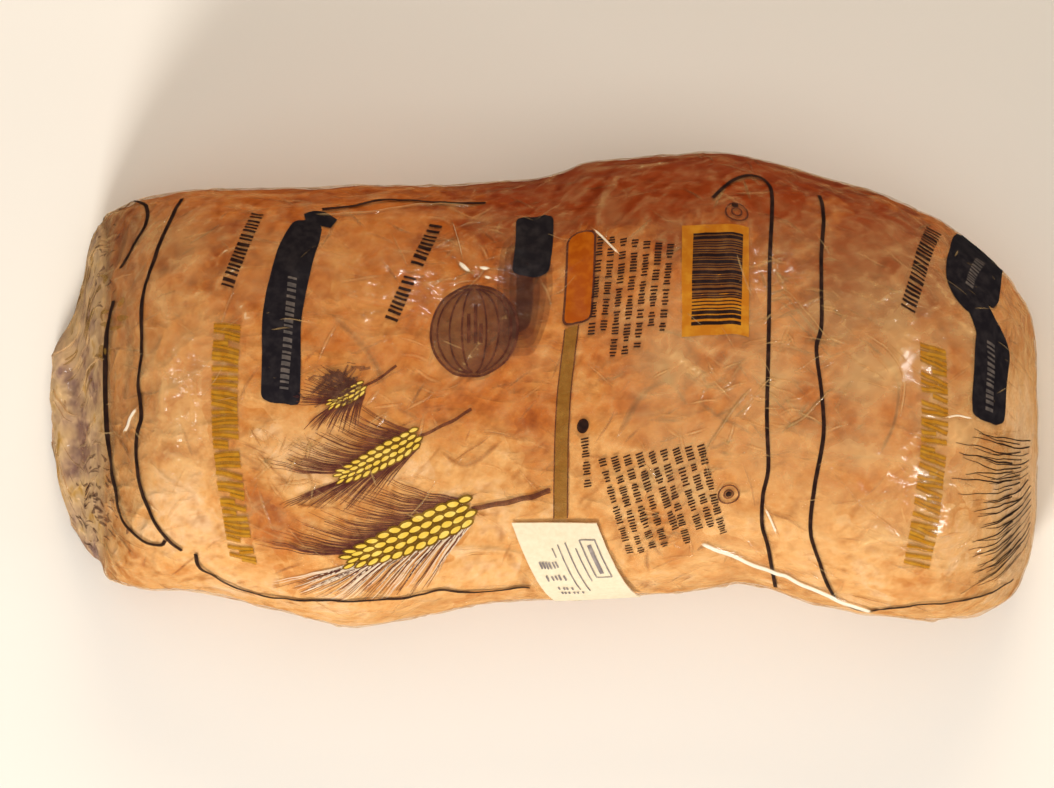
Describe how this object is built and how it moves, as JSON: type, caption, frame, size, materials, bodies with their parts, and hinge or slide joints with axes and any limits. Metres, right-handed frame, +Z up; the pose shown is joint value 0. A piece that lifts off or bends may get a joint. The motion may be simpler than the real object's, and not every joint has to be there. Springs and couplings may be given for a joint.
{
  "type": "loaf in bread bag",
  "caption": "Long white loaf in a clear printed film bag, lying on its flat underside, with a crumpled tail, a tucked end and a paper price label.",
  "frame": {"origin": "middle of the bag's footprint, on the surface it lies on", "axes": "+X along the loaf from the crumpled tail to the tucked end, +Y towards the back flank, +Z up through the printed side"},
  "size_m": [0.295, 0.1408, 0.086],
  "materials": {
    "film": "clear glossy polypropylene film over the crust",
    "label_paper": "matt coated label paper",
    "crust": "matt golden bread crust with flour",
    "ink_dark": "dark brown ink on film",
    "ink_navy": "navy ink on film",
    "ink_gold": "golden ochre ink on film"
  },
  "bodies": {
    "root": {"bag": "film", "price_label": "label_paper"}
  },
  "joints": []
}
